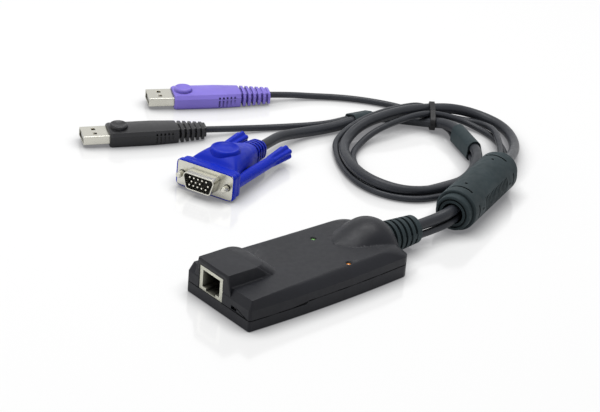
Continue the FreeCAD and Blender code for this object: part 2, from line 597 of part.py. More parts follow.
end_slots = rect(-0.5, fr - 1.0, 0.5, fr + 1) + rect(slots_apart - 0.5, fr - 1.0, slots_apart + 0.5, fr + 1)
turned(ferrite, "Groove", "XZ_Plane", "X_Axis", end_slots, angle=64.0, mid=True)
low_slots = rect(-0.5, -fr - 1, 0.5, -fr + 1.0)
low_slots += rect(slots_apart - 0.5, -fr - 1, slots_apart + 0.5, -fr + 1.0)
turned(ferrite, "Groove", "XZ_Plane", "X_Axis", low_slots, angle=60.0, mid=True)
side_slots = rect(-0.5, -fr - 1, 0.5, -fr + 1.0)
side_slots += rect(slots_apart - 0.5, -fr - 1, slots_apart + 0.5, -fr + 1.0)
turned(ferrite, "Groove", "XY_Plane", "X_Axis", side_slots, angle=40.0, mid=True)
pocket(ferrite, "XY_Plane", fr + 1, circle(4.6, 0, 0.7) + circle(slots_apart - 4.6, 0, 0.7), 2.4)
pocket(ferrite, "XZ_Plane", fr + 1, circle(4.6, 0, 0.7) + circle(slots_apart - 4.6, 0, 0.7), 2.4)
grips = []
for i in range(17):
    x = core_mid + (i - 8) * 1.55
    grips += rect(x - 0.3, -fr - 1, x + 0.3, -fr + 0.4) + rect(x - 0.3, fr - 0.4, x + 0.3, fr + 1)
turned(ferrite, "Groove", "XY_Plane", "X_Axis", grips, angle=50.0, mid=True)

core = new_body("ferrite_core", FERRITE)
turned(core, "Revolution", "XZ_Plane", "X_Axis",
       rect(core_mid - s("core_length") / 2, s("core_inner"), core_mid + s("core_length") / 2, s("core_outer")))


# ---------------------------------------------------------------- sleeves and tie
def wrap(label, place, circles, gap, thick, length):
    """A band round circles (across, up, radius); the last thick value is for those that lie lowest."""
    body = new_body(label, place)
    outer = hull([(x, y, r + gap + w) for (x, y, r), w in zip(circles, thick)])
    inner = hull([(x, y, r + gap) for x, y, r in circles])
    pad(body, "YZ_Plane", 0, outer + inner, length)
    return body


big, small = s("vga_cord_size") / 2, s("usb_cord_size") / 2
# Round the three cords where they run side by side; sleeve coordinates are (across, up).
collar_at = FreeCAD.Placement(V(143.5, 49.4, 0), FreeCAD.Rotation(V(0, 0, 1), 69.3))
wrap("bundle_collar", collar_at, [(-1.83, 2.6, small), (1.85, 2.6, small), (0.45, 6.85, big)],
     s("sleeve_gap"), [s("sleeve_wall")] * 3, "collar_length")

split_at = FreeCAD.Placement(V(127.6, 110.7, 0), FreeCAD.Rotation(V(0, 0, 1), 170.6))
wrap("split_collar", split_at, [(-2.53, 2.95, small), (2.47, 3.6, big)],
     s("sleeve_gap"), [s("sleeve_wall")] * 2, "split_length")
tie_at = FreeCAD.Placement(V(149.9, 87.2, 0) + V(0.772, -0.636, 0) * (s("tie_width") / 2),
                           FreeCAD.Rotation(V(0, 0, 1), 140.5))
thick, thin = s("tie_wall"), s("tie_wall") / 2
wrap("cable_tie", tie_at, [(1.75, 4.35, 2.72), (-3.0, 7.45, 1.9), (-10.3, 7.15, 2.8), (-14.5, 4.4, 2.25),
                           (-12.9, 2.25, 1.68), (-0.3, 3.4, 2.7)],
     s("tie_gap"), [thick, thick, thick, thick, thin, thin], "tie_width")

# ---------------------------------------------------------------- display plug
# Plug frames: +X towards the contacts, z = 0 at the middle of the flange, x = 0 on the flange face.
VGA_AT = FreeCAD.Placement(V(6.4, 90.7, 7.25),
                           FreeCAD.Rotation(V(0, 0, 1), 199.2) * FreeCAD.Rotation(V(0, 1, 0), -1.6))
fw, fh, ft = s("flange_width") / 2, s("flange_height") / 2, s("flange_thick")
spread, rim, lip = s("thumb_spread"), s("lip_rim"), s("lip_thick")
hood = new_body("vga_hood", VGA_AT)
pad(hood, "YZ_Plane", -lip, round_rect(-fw - rim, -fh - rim, fw + rim, fh + rim, 1.6), "lip_thick")
HOOD = [(-lip, 13.6, 6.3, 2.0), (-19.0, 13.2, 6.2, 3.4), (-27.0, 11.2, 6.0, 4.4), (-34.5, 7.4, 5.7, 4.8),
        (-39.0, 6.3, 5.4, 4.6)]
loft(hood, "AdditiveLoft", [("YZ_Plane", x, round_rect(-w, -h, w, h, r)) for x, w, h, r in HOOD])
tail = -s("hood_length")
loft(hood, "AdditiveLoft", [("YZ_Plane", -39.0, round_rect(-6.3, -5.4, 6.3, 5.4, 4.6)),
                            ("YZ_Plane", tail, round_rect(-4.9, -4.5, 4.9, 4.5, 4.0))])
for i in range(5):
    pocket(hood, "YZ_Plane", -42.4 - i * 2.75,
           rect(-9, -9, 9, 9) + round_rect(-4.1, -3.7, 4.1, 3.7, 3.2), 1.2)
turned(hood, "Revolution", "XZ_Plane", "Z_Axis", [
    line((0, 0), (5.6, 0)), line((5.6, 0), (5.6, 6.9)),
    arc((5.6, 6.9), (5.25, 7.5), (4.6, 7.7)), dish(4.6, 7.7, 0.9),
    line((0, 6.8), (0, 0))], along=-19.5)
channels = circle(-spread, 0, 3.1) + circle(spread, 0, 3.1)
pocket(hood, "YZ_Plane", -lip, channels, 40)
pocket(hood, "YZ_Plane", 0, rect(-fw - 0.02, -fh - 0.02, fw + 0.02, fh + 0.02), ft)
thread = s("thumb_tip")
run = s("run_gap")
pocket(hood, "YZ_Plane", 1, circle(-spread, 0, thread + run) + circle(spread, 0, thread + run), 12)
pocket(hood, "YZ_Plane", 0, rect(-8.0, -4.0, 8.0, 4.0), 6.0)


def dsub(inset):
    """D outline, wide side up."""
    w, h, r = s("dsub_width") / 2 - inset, s("dsub_height") / 2 - inset, 1.9 - inset
    lean = 1.3
    return hull([(-w + r + lean, -h + r, r), (w - r - lean, -h + r, r), (w - r, h - r, r), (-w + r, h - r, r)])


shell = new_body("vga_shell", VGA_AT)
pad(shell, "YZ_Plane", -ft, round_rect(-fw, -fh, fw, fh, 0.8), "flange_thick")
pad(shell, "YZ_Plane", -0.1, dsub(0), s("dsub_reach") + 0.1)
pocket(shell, "YZ_Plane", 7, dsub(s("dsub_sheet")), 9)
pocket(shell, "YZ_Plane", 1, circle(-spread, 0, 1.75) + circle(spread, 0, 1.75), 3)
insulator = new_body("vga_insulator", VGA_AT)
pad(insulator, "YZ_Plane", -5.9, rect(-7.9, -3.9, 7.9, 3.9), 5.9 - ft)
pad(insulator, "YZ_Plane", -ft - 0.1, dsub(s("dsub_sheet") + 0.05), ft + 1.0)
pins, pin_holes = [], []
for row in (-1, 0, 1):
    for i in range(5):
        if row == 0 and i == 3:
            continue
        y = (i - 2) * s("pin_pitch") + (0.57 if row == 0 else -0.57)
        pins += circle(y, row * s("pin_row"), s("pin_radius"))
pocket(insulator, "YZ_Plane", 2, pins, 6)
pin_set = new_body("vga_pins", VGA_AT)
pad(pin_set, "YZ_Plane", -4.0, pins, 9.3)

for name, way in (("left", 1), ("right", -1)):
    at = VGA_AT * FreeCAD.Placement(V(0, way * spread, 0), FreeCAD.Rotation())
    knob_start, knob_end = -s("thumb_start"), -s("thumb_end")
    grip = new_body("thumbscrew_" + name, at)
    kr, kt = s("thumb_knob"), s("thumb_shank")
    turned(grip, "Revolution", "XZ_Plane", "X_Axis", poly([
        (-lip - 0.3, 0), (-lip - 0.3, kt), (knob_start, kt - 0.2), (knob_start - 2.5, kr),
        (knob_end + 0.8, kr - 0.5), (knob_end, kr - 1.3), (knob_end, 0)]))
    flutes = []
    for i in range(10):
        a = math.radians(36 * i)
        flutes += circle((kr + 0.35) * math.cos(a), (kr + 0.35) * math.sin(a), 0.75)
    pocket(grip, "YZ_Plane", knob_start + 1, flutes, 20)
    pocket(grip, "YZ_Plane", 0, circle(0, 0, thread), lip + 8)
    point = new_body("thumbscrew_%s_tip" % name, at)
    turned(point, "Revolution", "XZ_Plane", "X_Axis", poly([
        (-lip - 8, 0), (-lip - 8, thread), (-0.6, thread), (-0.6, 1.1), (0.6, 1.1), (0.6, thread),
        (3.6, thread), (4.2, 0.9), (4.2, 0)]))


# ---------------------------------------------------------------- data plugs
def data_plug(name, at, length):
    """Plug frame: +X towards the mouth, x = 0 at the mouth, z = 0 at the middle of the metal shell."""
    uw, uh, sheet_t = s("usb_width") / 2, s("usb_height") / 2, s("usb_sheet")
    front_x = -s("usb_reach")
    low = -3.95
    high = low + s("grip_height")
    w = s("grip_width") / 2
    rib_x = front_x - s("grip_ribs")

    def section(width, bottom_z, top_z, crease):
        k = width / w
        return [line((-width + 1.1 * k, bottom_z), (width - 1.1 * k, bottom_z)),
                line((width - 1.1 * k, bottom_z), (width, crease)),
                line((width, crease), (width - 1.5 * k, top_z - 0.5)),
                arc((width - 1.5 * k, top_z - 0.5), (0, top_z), (-width + 1.5 * k, top_z - 0.5)),
                line((-width + 1.5 * k, top_z - 0.5), (-width, crease)),
                line((-width, crease), (-width + 1.1 * k, bottom_z))]

    mould = new_body(name + "_mould", at)
    tail_x = -length
    loft(mould, "AdditiveLoft", [
        ("YZ_Plane", front_x, section(w - 0.5, low + 0.3, high - 0.4, 1.5)),
        ("YZ_Plane", front_x - 1.2, section(w, low, high, 1.8)),
        ("YZ_Plane", front_x - 22.0, section(w - 0.1, low, high, 1.8)),
        ("YZ_Plane", rib_x, section(w - 0.9, low + 0.2, high - 0.2, 1.6)),
        ("YZ_Plane", tail_x, section(4.9, low + 0.9, high - 1.1, 1.1))])
    turned(mould, "Revolution", "XZ_Plane", "Z_Axis", [
        line((0, 1), (s("pad_radius"), 1)), line((s("pad_radius"), 1), (s("pad_radius"), high + 0.9)),
        arc((s("pad_radius"), high + 0.9), (s("pad_radius") - 0.3, high + 1.45),
            (s("pad_radius") - 0.9, high + s("pad_proud"))),
        dish(s("pad_radius") - 0.9, high + s("pad_proud"), s("pad_proud") - 0.8),
        line((0, high + 0.8), (0, 1))], along=front_x - 5.3)
    for i in range(6):
        x = rib_x - 1.5 - i * 2.65
        core = round_rect(-3.5, -2.7, 3.5, 2.7, 1.2)
        pocket(mould, "YZ_Plane", x, rect(-10, -6, 10, 6) + core, 1.25)
    slits, dots = [], []
    for i in range(5):
        x = front_x - 23.2 - i * 2.0
        slits += rect(x - 0.45, low + 1.0, x + 0.45, 0.6)
        dots += rect(x - 0.45, 1.3, x + 0.45, 2.3)
    for edges in (slits, dots):
        pocket(mould, "XZ_Plane", 20, edges, 20 - w + 1.5)
        pocket(mould, "XZ_Plane", -20, edges, 20 - w + 1.5, Reversed=True)
    pocket(mould, "YZ_Plane", front_x + 1, rect(-uw, -uh, uw, uh), 1 + s("usb_embed"))

    shell_body = new_body(name + "_shell", at)
    embed = s("usb_embed")
    pad(shell_body, "YZ_Plane", front_x - embed, round_rect(-uw, -uh, uw, uh, 0.4), s("usb_reach") + embed)
    pocket(shell_body, "YZ_Plane", 1,
           round_rect(-uw + sheet_t, -uh + sheet_t, uw - sheet_t, uh - sheet_t, 0.15),
           s("usb_reach") + embed + 2)
    windows = rect(-7.1, -3.55, -5.1, -1.25) + rect(-7.1, 1.25, -5.1, 3.55)
    pocket(shell_body, "XY_Plane", 5, windows, 10)

    tongue = new_body(name + "_tongue", at)
    top_t = -uh + sheet_t + 1.9
    pad(tongue, "YZ_Plane", front_x - embed + 0.5,
        rect(-uw + sheet_t + 0.2, -uh + sheet_t, uw - sheet_t - 0.2, top_t),
        s("usb_reach") + embed - 1.4)
    block = pad(tongue, "YZ_Plane", front_x - embed + 0.5,
                rect(-uw + sheet_t + 0.2, top_t - 0.2, uw - sheet_t - 0.2, uh - sheet_t), 5.3)
    strips = new_body(name + "_contacts", at)
    bars = []
    for y, reach_x in ((-3.5, -1.6), (-1.0, -2.6), (1.0, -2.6), (3.5, -1.6)):
        bars += rect(-10.5, y - 0.6, reach_x, y + 0.6)
    pad(strips, "XY_Plane", top_t, bars, 0.2)


BLACK_AT = FreeCAD.Placement(V(-11.6, 165.6, 4.0), FreeCAD.Rotation(V(0, 0, 1), 155.9))
PURPLE_AT = FreeCAD.Placement(V(42.7, 185.3, 4.0), FreeCAD.Rotation(V(0, 0, 1), 153.0))
data_plug("black_usb", BLACK_AT, 62.0)
data_plug("purple_usb", PURPLE_AT, 63.2)

# ---------------------------------------------------------------- export
doc.recompute()
os.makedirs("parts", exist_ok=True)
for piece in PIECES:
    shape = piece.Shape
    if shape.isNull() or not shape.isValid():
        raise RuntimeError(piece.Label + " has no valid shape")
    shape.exportStep("parts/%s.step" % piece.Label)
for item in doc.Objects:
    if "Invalid" in item.State or "Error" in item.State:
        raise RuntimeError(item.Label + " did not recompute")
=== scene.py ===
import json
import math

import bmesh
import bpy
from mathutils import Matrix, Vector


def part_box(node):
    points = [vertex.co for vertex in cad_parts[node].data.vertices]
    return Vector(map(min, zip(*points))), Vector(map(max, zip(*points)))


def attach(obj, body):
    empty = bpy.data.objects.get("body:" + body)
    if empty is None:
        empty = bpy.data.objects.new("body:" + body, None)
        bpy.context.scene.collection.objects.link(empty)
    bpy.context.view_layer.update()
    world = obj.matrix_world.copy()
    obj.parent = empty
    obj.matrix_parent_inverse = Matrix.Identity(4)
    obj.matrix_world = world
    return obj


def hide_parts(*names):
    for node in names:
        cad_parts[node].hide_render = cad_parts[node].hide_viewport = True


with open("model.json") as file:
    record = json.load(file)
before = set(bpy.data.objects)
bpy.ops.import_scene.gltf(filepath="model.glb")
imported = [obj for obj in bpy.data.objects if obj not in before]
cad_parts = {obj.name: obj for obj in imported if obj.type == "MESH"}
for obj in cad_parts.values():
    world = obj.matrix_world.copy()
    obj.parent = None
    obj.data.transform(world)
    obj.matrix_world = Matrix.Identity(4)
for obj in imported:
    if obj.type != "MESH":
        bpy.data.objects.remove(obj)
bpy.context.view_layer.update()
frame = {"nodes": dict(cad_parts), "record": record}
nodes = frame["nodes"]
scene = bpy.context.scene


def add(name, data):
    """New object in the scene."""
    made = bpy.data.objects.new(name, data)
    scene.collection.objects.link(made)
    return made


def stand_for(piece, body, node):
    """Lets a piece ride on a body in place of a CAD node."""
    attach(piece, body)
    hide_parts(node)


# ---------------------------------------------------------------- camera
HEADING = math.radians(-42.032)
DOWN = math.radians(26.974)
ROLL = math.radians(4.738)
EYE = (-0.57872, -0.62647, 0.46839)

forward = Vector((-math.sin(HEADING) * math.cos(DOWN), math.cos(HEADING) * math.cos(DOWN), -math.sin(DOWN)))
level = Vector((math.cos(HEADING), math.sin(HEADING), 0))
upward = level.cross(forward)
cam_x = level * math.cos(ROLL) + upward * math.sin(ROLL)
cam_y = upward * math.cos(ROLL) - level * math.sin(ROLL)
lens = bpy.data.cameras.new("camera")
lens.lens = 132
lens.sensor_width = 36
lens.clip_start = 0.01
lens.clip_end = 20
camera = add("camera", lens)
camera.matrix_world = Matrix((cam_x, cam_y, -forward)).transposed().to_4x4()
camera.location = EYE
scene.camera = camera

# ---------------------------------------------------------------- routes of the cords, in metres
VGA_ROUTE = [
    (0.0565, -0.0008, 0.0098), (0.0665, -0.0008, 0.0098), (0.0772, -0.0022, 0.012),
    (0.0905, 0.0035, 0.0119), (0.1065, 0.0102, 0.0119), (0.1225, 0.0169, 0.0118),
    (0.1365, 0.0229, 0.0115), (0.1499, 0.031, 0.0082), (0.1609, 0.0392, 0.0054),
    (0.1701, 0.048, 0.0032), (0.1769, 0.0578, 0.00265), (0.1804, 0.0686, 0.00265),
    (0.1793, 0.0792, 0.0031), (0.1733, 0.087, 0.0049), (0.1651, 0.0915, 0.0067),
    (0.1563, 0.0953, 0.0071), (0.1469, 0.0976, 0.008), (0.1367, 0.0986, 0.0086),
    (0.1261, 0.099, 0.0084), (0.1159, 0.099, 0.0078), (0.1069, 0.098, 0.006),
    (0.0983, 0.0946, 0.0039), (0.0905, 0.0878, 0.0038), (0.0843, 0.0784, 0.0045),
    (0.0796, 0.0686, 0.0051), (0.0773, 0.0577, 0.0051), (0.0785, 0.047, 0.005),
    (0.0836, 0.0382, 0.0042), (0.0926, 0.0332, 0.0031), (0.1033, 0.031, 0.00265),
    (0.1141, 0.0298, 0.0032), (0.1245, 0.0316, 0.0054), (0.1331, 0.0376, 0.0068),
    (0.1417, 0.0458, 0.00685), (0.1462, 0.058, 0.00685), (0.1511, 0.0706, 0.00685),
    (0.1514, 0.0794, 0.0063), (0.15, 0.0874, 0.0038), (0.1458, 0.0954, 0.00265),
    (0.1391, 0.1024, 0.00265), (0.1318, 0.1074, 0.0034), (0.1181, 0.11, 0.0037),
    (0.1069, 0.1108, 0.0028), (0.0959, 0.1126, 0.00265), (0.0849, 0.114, 0.0032),
    (0.0705, 0.1128, 0.0054), (0.0605, 0.1095, 0.0057), (0.0517, 0.1065, 0.0059),
]
BLACK_ROUTE = [
    (0.0565, -0.0029, 0.0059), (0.0665, -0.0029, 0.0059), (0.0774, -0.0037, 0.0075),
    (0.0912, 0.0019, 0.0079), (0.1072, 0.0085, 0.0079), (0.1232, 0.0152, 0.0078),
    (0.1373, 0.0215, 0.007), (0.1483, 0.031, 0.0032), (0.1571, 0.0406, 0.0017),
    (0.1641, 0.0504, 0.0016), (0.1685, 0.0614, 0.0016), (0.1693, 0.072, 0.0017),
    (0.1663, 0.081, 0.0032), (0.1593, 0.0868, 0.0057), (0.1511, 0.0902, 0.0078),
    (0.1417, 0.092, 0.008), (0.1319, 0.0924, 0.0074), (0.1215, 0.0926, 0.0064),
    (0.1119, 0.0924, 0.0042), (0.1031, 0.09, 0.002), (0.0944, 0.085, 0.0016),
    (0.0877, 0.0765, 0.0016), (0.0832, 0.0665, 0.0016), (0.0808, 0.0558, 0.0016),
    (0.0825, 0.0458, 0.0016), (0.0893, 0.0386, 0.0016), (0.0992, 0.036, 0.0016),
    (0.1101, 0.035, 0.0016), (0.1209, 0.0346, 0.0016), (0.1311, 0.0384, 0.002),
    (0.1404, 0.0463, 0.0026), (0.1449, 0.0585, 0.0026), (0.1497, 0.0711, 0.0026),
    (0.1554, 0.0795, 0.0019), (0.155, 0.09, 0.0024), (0.1506, 0.0986, 0.0018),
    (0.1443, 0.1056, 0.0016), (0.1379, 0.1102, 0.0017), (0.131, 0.1128, 0.0028),
    (0.1183, 0.1146, 0.003), (0.1079, 0.117, 0.0018), (0.0975, 0.1206, 0.0016),
    (0.0873, 0.125, 0.0016), (0.0771, 0.1296, 0.0016), (0.0663, 0.1336, 0.0022),
    (0.0553, 0.1366, 0.0033), (0.0451, 0.1403, 0.004),
]
PURPLE_ROUTE = [
    (0.0565, 0.0023, 0.0064), (0.0661, 0.0023, 0.0064), (0.0764, -0.0003, 0.0077),
    (0.0899, 0.0051, 0.008), (0.1058, 0.0119, 0.0079), (0.1218, 0.0186, 0.0078),
    (0.1354, 0.0243, 0.0073), (0.1459, 0.0336, 0.0056), (0.1553, 0.043, 0.005),
    (0.1633, 0.0528, 0.0051), (0.1697, 0.0622, 0.0051), (0.1735, 0.072, 0.0028),
    (0.1729, 0.0808, 0.0016), (0.1678, 0.0876, 0.0016), (0.1622, 0.0958, 0.0027),
    (0.1549, 0.1018, 0.007), (0.1453, 0.1042, 0.0071), (0.1345, 0.1044, 0.0076),
    (0.1239, 0.1039, 0.0076), (0.1131, 0.1034, 0.0064), (0.1027, 0.1018, 0.0042),
    (0.0937, 0.0976, 0.0022), (0.0878, 0.0896, 0.0016), (0.0819, 0.0801, 0.0016),
    (0.0773, 0.0694, 0.0016), (0.0748, 0.058, 0.0016), (0.076, 0.0462, 0.0016),
    (0.0808, 0.0364, 0.0016), (0.0889, 0.0294, 0.0016), (0.1001, 0.0264, 0.0016),
    (0.1115, 0.0252, 0.0016), (0.1225, 0.0268, 0.0016), (0.1325, 0.0324, 0.002),
    (0.1438, 0.045, 0.0026), (0.1483, 0.0572, 0.0026), (0.1532, 0.0698, 0.0026),
    (0.1592, 0.08, 0.002), (0.1586, 0.0906, 0.0028), (0.1564, 0.1006, 0.0018),
    (0.1525, 0.1128, 0.0016), (0.1469, 0.1226, 0.0016), (0.1397, 0.132, 0.0016),
    (0.1311, 0.1404, 0.0016), (0.1207, 0.1478, 0.0017), (0.1097, 0.153, 0.003),
    (0.099, 0.1566, 0.004),
]


# ---------------------------------------------------------------- materials
GLOSS_VARIES = 0.12         # share by which the roughness goes up and down
PAINTED_SHADE_FADE = (0.25, 0.85)      # openness at which the painted shade in crevices is darkest, and at which it ends
COLOUR_INPUTS = (6, 7)      # the Mix node's sockets for two colours
COLOUR_OUTPUT = 2


def link(tree, source, target):
    tree.links.new(source, target)


def noise(tree, scale, detail=2.0, stretch=(1, 1, 1)):
    """Noise in the object's coordinates; scale counts per metre, and stretch squeezes it along an axis."""
    where = tree.nodes.new("ShaderNodeTexCoord")
    mapping = tree.nodes.new("ShaderNodeMapping")
    mapping.inputs["Scale"].default_value = stretch
    link(tree, where.outputs["Object"], mapping.inputs["Vector"])
    texture = tree.nodes.new("ShaderNodeTexNoise")
    texture.inputs["Scale"].default_value = scale
    texture.inputs["Detail"].default_value = detail
    link(tree, mapping.outputs["Vector"], texture.inputs["Vector"])
    return texture.outputs["Fac"]


def spread(tree, value, low, high, near=0.35, far=0.65):
    """Maps a value from near..far to low..high; most noise lies between the near and far given here."""
    node = tree.nodes.new("ShaderNodeMapRange")
    for socket, number in (("From Min", near), ("From Max", far), ("To Min", low), ("To Max", high)):
        node.inputs[socket].default_value = number
    link(tree, value, node.inputs["Value"])
    return node.outputs["Result"]


def blend(tree, factor, first, second):
    """Mix of two colours, each a tuple or another node's output."""
    node = tree.nodes.new("ShaderNodeMix")
    node.data_type = "RGBA"
    link(tree, factor, node.inputs["Factor"])
    for index, colour in zip(COLOUR_INPUTS, (first, second)):
        if isinstance(colour, tuple):
            node.inputs[index].default_value = (*colour, 1)
        else:
            link(tree, colour, node.inputs[index])
    return node.outputs[COLOUR_OUTPUT]


def openness(tree, reach, samples):
    """1 on open ground, and less within reach of another surface; it sets where shade is painted."""
    node = tree.nodes.new("ShaderNodeAmbientOcclusion")
    node.samples = samples
    node.inputs["Distance"].default_value = reach
    return node.outputs["AO"]


def finish(name, colour, rough, vary=0.12, patch=60, grain=2600, depth=0.012, edge=0.00025,
           metal=0.0, stretch=(1, 1, 1), shade=0.25, reach=0.0015, **sockets):
    """Material with patchy colour, uneven gloss, a grain in relief, soft edges and painted shade in crevices.

    Depth, the grain's height, is in millimetres; edge and reach are in metres, patch and grain per metre.
    """
    made = bpy.data.materials.new(name)
    made.use_nodes = True
    tree = made.node_tree
    shader = tree.nodes["Principled BSDF"]
    shader.inputs["Metallic"].default_value = metal
    for socket, number in sockets.items():
        shader.inputs[socket.replace("_", " ")].default_value = number

    patches = spread(tree, noise(tree, patch, 4), 0, 1)
    dark = tuple(c * (1 - vary) for c in colour)
    light = tuple(min(1, c * (1 + vary)) for c in colour)
    # painted shade: in crevices that the AO node finds, the colour darkens to the given share of itself
    painted_shade_colour = tuple(c * shade for c in colour)
    painted_shade_mask = spread(tree, openness(tree, reach, 8), 0, 1, *PAINTED_SHADE_FADE)
    open_colour = blend(tree, patches, dark, light)
    link(tree, blend(tree, painted_shade_mask, painted_shade_colour, open_colour), shader.inputs["Base Color"])

    gloss = noise(tree, patch * 6, 3, stretch)
    uneven = spread(tree, gloss, rough * (1 - GLOSS_VARIES), rough * (1 + GLOSS_VARIES))
    link(tree, uneven, shader.inputs["Roughness"])

    soft = tree.nodes.new("ShaderNodeBevel")
    soft.samples = 6
    soft.inputs["Radius"].default_value = edge
    bump = tree.nodes.new("ShaderNodeBump")
    bump.inputs["Strength"].default_value = 1
    bump.inputs["Distance"].default_value = depth / 1000
    link(tree, noise(tree, grain, 2, stretch), bump.inputs["Height"])
    link(tree, soft.outputs["Normal"], bump.inputs["Normal"])
    link(tree, bump.outputs["Normal"], shader.inputs["Normal"])
    return made


case_plastic = finish("case_plastic", (0.0095, 0.0103, 0.0145), 0.42, grain=3200, depth=0.010,
                      Specular_IOR_Level=0.22)
grey_rubber = finish("grey_rubber", (0.034, 0.048, 0.053), 0.6, grain=2200, depth=0.008,
                     Specular_IOR_Level=0.15)
cord_rubber = finish("cord_rubber", (0.025, 0.028, 0.035), 0.4, grain=1500, depth=0.005,
                     Specular_IOR_Level=0.3)
black_plastic = finish("black_plastic", (0.004, 0.004, 0.005), 0.4, vary=0.04, grain=900, depth=0.003,
                       Specular_IOR_Level=0.25)
black_rubber = finish("black_rubber", (0.013, 0.013, 0.015), 0.34, grain=2800, depth=0.008,
                      Specular_IOR_Level=0.35)
purple_plastic = finish("purple_plastic", (0.27, 0.21, 0.74), 0.45, vary=0.05, grain=2800, depth=0.008,
                        shade=0.35, Specular_IOR_Level=0.2)
blue_plastic = finish("blue_plastic", (0.001, 0.020, 0.50), 0.42, vary=0.07, grain=2800, depth=0.008,
                      shade=0.2, Specular_IOR_Level=0.16)
# painted shade: the jack's inside turns near black within 16 mm of other surfaces, where little light reaches
jack_plastic = finish("jack_plastic", (0.74, 0.74, 0.62), 0.4, vary=0.04, grain=2000, depth=0.005,
                      shade=0.02, reach=0.016)
white_plastic = finish("white_plastic", (0.75, 0.75, 0.72), 0.4, vary=0.04, grain=2000, depth=0.004)
board_mask = finish("board_mask", (0.012, 0.09, 0.035), 0.35, vary=0.2, patch=300)
ferrite_grey = finish("ferrite_grey", (0.05, 0.05, 0.055), 0.55)
contact_brass = finish("contact_brass", (0.83, 0.62, 0.28), 0.25, metal=1.0, grain=1200, depth=0.001,
                       shade=0.6)
pin_metal = finish("pin_metal", (0.92, 0.88, 0.78), 0.28, metal=1.0, grain=1500, depth=0.001, shade=0.6)
screw_steel = finish("screw_steel", (0.5, 0.5, 0.52), 0.35, metal=1.0, grain=1500, depth=0.002, shade=0.5)
plug_metal = finish("plug_metal", (0.56, 0.55, 0.49), 0.26, vary=0.03, metal=1.0, grain=700, depth=0.0004,
                    shade=0.35, stretch=(1, 0.2, 1))
green_lens = finish("green_lens", (0.16, 0.42, 0.10), 0.2, grain=900, depth=0.004)
amber_lens = finish("amber_lens", (0.80, 0.30, 0.06), 0.2, grain=900, depth=0.004)

LOOKS = {"case_plastic": case_plastic, "board": board_mask, "jack_plastic": jack_plastic,
         "contact_brass": contact_brass, "green_lens": green_lens, "amber_lens": amber_lens,
         "black_plastic": black_plastic, "screw_steel": screw_steel, "grey_rubber": grey_rubber,
         "cord_rubber": cord_rubber, "ferrite": ferrite_grey, "blue_plastic": blue_plastic,
         "plug_shell": plug_metal, "pin_metal": pin_metal, "black_rubber": black_rubber,
         "purple_plastic": purple_plastic, "white_plastic": white_plastic}
for part in frame["record"]["subparts"]:
    mesh = nodes[part["node"]].data
    mesh.materials.clear()
    mesh.materials.append(LOOKS[part["material_slot"]])

# ---------------------------------------------------------------- groove between the case halves
GROOVE_HALF = 0.00024       # half the groove's width
GROOVE_DEEP = 0.0007
BAR_PROUD = 1.4             # how far a cutting bar stands out of the wall, in half widths
BAR_LAP = 0.6               # how far a bar runs past its edge, in half widths
SEAM_HEIGHT = (0.005, 0.0066)
WALL_REACH = 0.0025         # an edge further than this from the box's sides isn't on the outer wall
STEP_TALL = 0.0004          # an edge that climbs more is taken for a step in the seam
STEP_ASIDE = 0.015          # steps nearer the middle line belong to the end wall's openings
WELD = 0.000002
SHARP = math.radians(21)


def welded(mesh):
    bm = bmesh.new()
    bm.from_mesh(mesh)
    bmesh.ops.remove_doubles(bm, verts=bm.verts, dist=WELD)
    return bm


def on_seam(edge, middle):
    """Whether the edge looks like one where the upper half's outer wall meets its lower rim.

    Six diagonals inside flat walls, by the steps and the switch, pass for steps too and are cut.
    """
    a, b = (v.co for v in edge.verts)
    where = (a + b) / 2
    if len(edge.link_faces) != 2 or not SEAM_HEIGHT[0] < where.z < SEAM_HEIGHT[1]:
        return False
    step = abs(a.z - b.z) > STEP_TALL
    if step and abs(where.y - middle.y) < STEP_ASIDE:
        return False
    outward = (where - middle).xy.normalized()
    first, second = (f.normal for f in edge.link_faces)
    for wall, under in ((first, second), (second, first)):
        stands = abs(wall.z) < 0.35 and wall.xy.dot(outward) > 0.2
        if stands and (under.z < -0.7 or (abs(under.z) < 0.2 and step)):
            return True
    return False


def bar(a, b, middle):
    """Corners of a thin four-sided bar along a..b that points one corner into the wall."""
    along = (b - a).normalized()
    out = Vector(((a + b) / 2 - middle).xy.to_3d()).normalized()
    out = (out - along * out.dot(along)).normalized()
    tall = along.cross(out)
    lap = along * GROOVE_HALF * BAR_LAP
    corners = []
    for end in (a - lap, b + lap):
        corners += [end + out * GROOVE_HALF * BAR_PROUD, end + tall * GROOVE_HALF,
                    end - out * GROOVE_DEEP, end - tall * GROOVE_HALF]
    return corners


def groove_cutter(node):
    """Bars along all of the seam, as one object."""
    low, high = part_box(node)
    middle = (low + high) / 2
    half_width = (high.y - low.y) / 2
    bm = welded(nodes[node].data)
    verts, faces = [], []
    for edge in bm.edges:
        a, b = (v.co.copy() for v in edge.verts)
        where = (a + b) / 2
        to_side = abs(abs(where.y - middle.y) - half_width)
        if min(where.x - low.x, high.x - where.x, to_side) > WALL_REACH or not on_seam(edge, middle):
            continue
        base = len(verts)
        verts += bar(a, b, middle)
        for i in range(4):
            k = (i + 1) % 4
            faces.append((base + i, base + k, base + 4 + k, base + 4 + i))
        faces += [(base + 3, base + 2, base + 1, base), (base + 4, base + 5, base + 6, base + 7)]
    bm.free()
    mesh = bpy.data.meshes.new("groove_cutter")
    mesh.from_pydata([tuple(v) for v in verts], [], faces)
    bars = bmesh.new()
    bars.from_mesh(mesh)
    bmesh.ops.recalc_face_normals(bars, faces=bars.faces)
    bars.to_mesh(mesh)
    bars.free()
    return add("groove_cutter", mesh)


def settle(piece):
    """Gives a piece the mesh that its modifiers make, and drops them."""
    graph = bpy.context.evaluated_depsgraph_get()
    made = bpy.data.meshes.new_from_object(piece.evaluated_get(graph))
    piece.modifiers.clear()
    piece.data = made


